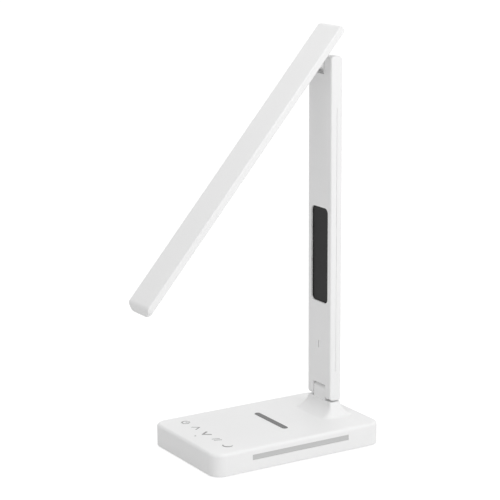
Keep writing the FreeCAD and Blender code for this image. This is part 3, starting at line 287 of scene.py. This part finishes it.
def add_screw(shape, axes, middle, head, length, head_height, shank_radius):
    """One screw with a domed head, a cross recess and a cut thread, from the face of its head inwards."""
    rings = [(head * across, head_height * down) for across, down in HEAD_DOME]
    down = head_height
    while down < length - THREAD_PITCH:
        rings.append((shank_radius, down))
        rings.append((shank_radius * THREAD_ROOT, down + THREAD_PITCH / 2))
        down += THREAD_PITCH
    rings.append((shank_radius * SCREW_TIP, length))

    def point(x, y, z):
        return shape.verts.new(axes @ (middle + Vector((x, y, z))))

    loops = []
    for radius, z in rings:
        angles = [2 * math.pi * step / HEAD_SIDES for step in range(HEAD_SIDES)]
        loops.append([point(radius * math.cos(angle), radius * math.sin(angle), z) for angle in angles])
    for upper, lower in zip(loops, loops[1:]):
        for step in range(HEAD_SIDES):
            after = (step + 1) % HEAD_SIDES
            shape.faces.new((upper[step], upper[after], lower[after], lower[step]))
    shape.faces.new(loops[-1])
    reach = head * CROSS_REACH
    half = head * CROSS_HALF
    cross = []
    for x, y in ((1, 0), (0, 1), (-1, 0), (0, -1)):
        cross.append((x * reach + y * half, y * reach - x * half))
        cross.append((x * reach - y * half, y * reach + x * half))
        cross.append(((x - y) * half, (y + x) * half))
    rim = [point(x, y, 0.0) for x, y in cross]
    floor = [point(x * CROSS_TAPER, y * CROSS_TAPER, head_height * CROSS_DEPTH) for x, y in cross]
    for step in range(len(cross)):
        after = (step + 1) % len(cross)
        shape.faces.new((rim[step], rim[after], floor[after], floor[step]))
    shape.faces.new(floor)
    edges = []
    for loop in (loops[0], rim):
        edges.extend(shape.edges.get((loop[step - 1], loop[step])) for step in range(len(loop)))
    bmesh.ops.triangle_fill(shape, use_beauty=True, edges=edges)


def cross_screws(node, body, towards, head_radius, head_height, shank_radius):
    """Screws with cross recesses in place of a node's plain ones, driven along a direction."""
    sideways = Vector((1.0, 0.0, 0.0))
    axes = Matrix((sideways, towards.cross(sideways), towards)).transposed()
    shape = bmesh.new()
    for low, high in node_solids(node, axes):
        middle = Vector(((low.x + high.x) / 2, (low.y + high.y) / 2, low.z))
        add_screw(shape, axes, middle, head_radius, high.z - low.z, head_height, shank_radius)
    bmesh.ops.recalc_face_normals(shape, faces=shape.faces)
    mesh = bpy.data.meshes.new(f"cross_{node}")
    shape.to_mesh(mesh)
    shape.free()
    mesh.materials.append(screw_steel)
    piece = bpy.data.objects.new(f"cross_{node}", mesh)
    bpy.context.scene.collection.objects.link(piece)
    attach(piece, body)
    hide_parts(node)


dress(white, "base_cover")
rubber = moulding("grey_rubber", grey(0.05), grey(0.038), rough=0.8, grain_size=0.0006, grain_depth=0.00004)
dress(rubber, "foot_ring")
cross_screws("cover_screws", "base", UPWARD, head_radius=0.0026, head_height=0.0013, shank_radius=0.0014)


# Lower hinge: a ground steel pin fixed in the pole turns in a brass bush in the neck, between two steel
# washers whose friction holds the pole where it is put. The ends of the pin stay inside the pole.
pin_steel = metal("pin_steel", grey(0.58), grey(0.5), rough=0.25, mark_size=0.0003, stretch=ALONG_X,
                  mark_depth=0.000003)
dress(pin_steel, "lower_hinge_pin", "lower_washers")
brass = metal("hinge_brass", (0.7, 0.52, 0.24, 1.0), (0.6, 0.44, 0.2, 1.0), rough=0.3, mark_size=0.0003,
              stretch=ALONG_X, mark_depth=0.000003)
dress(brass, "lower_bush")


# Pole: two white shells, front and back, that meet in a fine line along both sides. Six screws from behind
# hold them together. A steel spine lies along the back shell, with the flat lead on it.
BACK_TO_FRONT = Vector((0.0, -1.0, 0.0))
dress(white, "pole_front_shell", "pole_back_shell")
dress(plate_steel, "pole_spine")
dress(jacket, "pole_cable")
cross_screws("pole_screws", "pole", BACK_TO_FRONT, head_radius=0.0022, head_height=0.0016, shank_radius=0.0011)


# Display: a dark smoked lens behind the window of the front shell, with the clock's unlit liquid crystal
# module close behind it. The lens is lightly frosted against glare, so it mirrors little of the room.
# The board behind it carries the room sensor at the slit below and the coin cell of the clock.
smoked = moulding("smoked_lens", grey(0.01), grey(0.008), rough=0.38, grain_size=0.0003, grain_depth=0.000004,
                  specular=0.16)
dress(smoked, "display_lens")
crystal = moulding("lcd_glass", grey(0.03), grey(0.027), rough=0.2, grain_size=0.001, grain_depth=0.000002)
dress(crystal, "lcd_module")
dress(screw_steel, "display_screws")
dress(black, "room_sensor")
dress(plated, "clock_cell")


# Upper hinge: the same pin, bush and washers as the lower one, with the lug of the head between the ears of
# the pole. The washers press on the lug, and their friction holds the head where it is put.
dress(pin_steel, "upper_hinge_pin", "upper_washers")
dress(brass, "upper_bush")


# Head shell: a long white cover, bevelled at its tip, and the white panel with the hinge lug that closes its
# rear from below. Four small screws with cross recesses hold the panel. They stand square to the head, and its
# slope at rest is the one in the photograph.
HEAD_SLOPE = math.radians(49.3)
INTO_HEAD = Vector((0.0, -math.sin(HEAD_SLOPE), math.cos(HEAD_SLOPE)))
dress(white, "head_cover", "hinge_panel")
cross_screws("panel_screws", "head", INTO_HEAD, head_radius=0.0019, head_height=0.0012, shank_radius=0.001)
dress(jacket, "head_cable")


# Light pack: an aluminium plate that carries off the heat, a white film, a clear guide lit at both long edges
# by lamps on aluminium boards, and the opal panel that shows below. The layers drop into the cover.
aluminium = metal("heat_aluminium", grey(0.75), grey(0.66), rough=0.4, mark_size=0.0006, stretch=ALONG_Y,
                  mark_depth=0.000003)
dress(aluminium, "heat_plate", "left_led_board", "right_led_board")
film = moulding("white_film", grey(0.9), grey(0.88), rough=0.5, grain_size=0.001, grain_depth=0.000002)
dress(film, "reflector_sheet")
guide = moulding("clear_guide", grey(0.8), grey(0.78), rough=0.1, grain_size=0.001, grain_depth=0.000002)
dress(guide, "light_guide")
dress(led, "left_leds", "right_leds")
opal = moulding("opal_diffuser", grey(0.84), grey(0.82), rough=0.35, grain_size=0.0006, grain_depth=0.00001)
dress(opal, "diffuser_panel")


# Floor: a plain white table. What the camera and reflections see of it is lifted to white, and it keeps a
# faint shadow under the lamp.
FLOOR_REACH = 20.0
FLOOR_TONE = 0.8
FLOOR_LIFT = 0.6
FLOOR_GLOW = 1.36


def seen_rays(tree):
    """1 for what the camera, reflections and glass see, and 0 for the light that falls on surfaces."""
    rays = tree.nodes.new("ShaderNodeLightPath")
    camera = Wire(rays.outputs["Is Camera Ray"])
    glossy = Wire(rays.outputs["Is Glossy Ray"])
    through = Wire(rays.outputs["Is Transmission Ray"])
    return camera.calculate("MAXIMUM", camera.calculate("MAXIMUM", camera, glossy), through)


mesh = bpy.data.meshes.new("floor")
corners = [(x * FLOOR_REACH, y * FLOOR_REACH, 0.0) for x, y in ((-1, -1), (1, -1), (1, 1), (-1, 1))]
mesh.from_pydata(corners, [], [(0, 1, 2, 3)])
floor = bpy.data.objects.new("floor", mesh)
bpy.context.scene.collection.objects.link(floor)
table = bpy.data.materials.new("floor")
table.use_nodes = True
tree = table.node_tree
tree.nodes.clear()
paint = Wire.make(tree, "BsdfDiffuse", None, {"Color": grey(FLOOR_TONE)})
glow = Wire.make(tree, "Emission", None, {"Strength": FLOOR_GLOW})
mixed = Wire.make(tree, "MixShader", None, {0: FLOOR_LIFT * seen_rays(tree), 1: paint, 2: glow})
Wire.feed(tree.nodes.new("ShaderNodeOutputMaterial"), {"Surface": mixed})
mesh.materials.append(table)


# Studio: even light from all round that dies away towards the left of the front, a broad square lamp above
# and a smaller one on the right. Both lamps are near enough to make what stands high a little brighter.
SKY_GLOW = 0.85
DARK_TURN = -20.0
DARK_RISE = -10.0
LAMPS = {
    "above": {"place": Vector((0.0, -0.3, 1.0)), "aim": Vector((0.0, 0.0, 0.2)), "size": 0.6, "watts": 1.84},
    "right": {"place": Vector((0.7, 0.1, 0.45)), "aim": Vector((0.0, 0.05, 0.3)), "size": 0.4, "watts": 1.26},
}


def direction(turn, rise):
    """The way to a place so many degrees round from the front to the right, and so many up."""
    turn = math.radians(turn)
    rise = math.radians(rise)
    return Vector((math.sin(turn) * math.cos(rise), -math.cos(turn) * math.cos(rise), math.sin(rise)))


world = bpy.data.worlds.new("studio")
world.use_nodes = True
tree = world.node_tree
facing = Wire.make(tree, "VectorMath", {"operation": "DOT_PRODUCT"},
                   {0: Wire.make(tree, "TexCoord"), 1: direction(DARK_TURN, DARK_RISE)}, out="Value")
dark = facing.calculate("MAXIMUM", facing, 0.0)
sky = SKY_GLOW * (1.0 - dark * dark)
Wire.feed(tree.nodes["Background"], {"Color": grey(1.0), "Strength": sky + (1.0 - sky) * seen_rays(tree)})
bpy.context.scene.world = world
for name, plan in LAMPS.items():
    light = bpy.data.lights.new(name, "AREA")
    light.energy = plan["watts"]
    light.size = plan["size"]
    lamp = bpy.data.objects.new(name, light)
    lamp.location = plan["place"]
    lamp.rotation_euler = (plan["place"] - plan["aim"]).to_track_quat("Z", "Y").to_euler()
    bpy.context.scene.collection.objects.link(lamp)


# Camera: to the right of the lamp's front and a little above it, at the photograph's viewing angle.
# It stands so that the lamp's origin falls on the pixel where the photograph has it.
CAMERA_TURN = 58.585
CAMERA_RISE = 13.007
CAMERA_ROLL = math.radians(-0.306)
CAMERA_DISTANCE = 1.661772
FOCAL_PIXELS = 1781.283
FRAME_PIXELS = 500
ORIGIN_PIXEL = (267.075, 443.9)
SENSOR = 36.0
back = direction(CAMERA_TURN, CAMERA_RISE)
level = direction(CAMERA_TURN + 90.0, 0.0)
upright = back.cross(level)
right = level * math.cos(CAMERA_ROLL) + upright * math.sin(CAMERA_ROLL)
up = upright * math.cos(CAMERA_ROLL) - level * math.sin(CAMERA_ROLL)
metres_per_pixel = CAMERA_DISTANCE / FOCAL_PIXELS
across = (ORIGIN_PIXEL[0] - FRAME_PIXELS / 2) * metres_per_pixel
above = (FRAME_PIXELS / 2 - ORIGIN_PIXEL[1]) * metres_per_pixel
eye = back * CAMERA_DISTANCE - right * across - up * above
lens = bpy.data.cameras.new("camera")
lens.sensor_width = SENSOR
lens.lens = FOCAL_PIXELS / FRAME_PIXELS * SENSOR
camera = bpy.data.objects.new("camera", lens)
camera.matrix_world = Matrix.Translation(eye) @ Matrix((right, up, back)).transposed().to_4x4()
bpy.context.scene.collection.objects.link(camera)
bpy.context.scene.camera = camera
bpy.context.scene.view_settings.view_transform = "Standard"
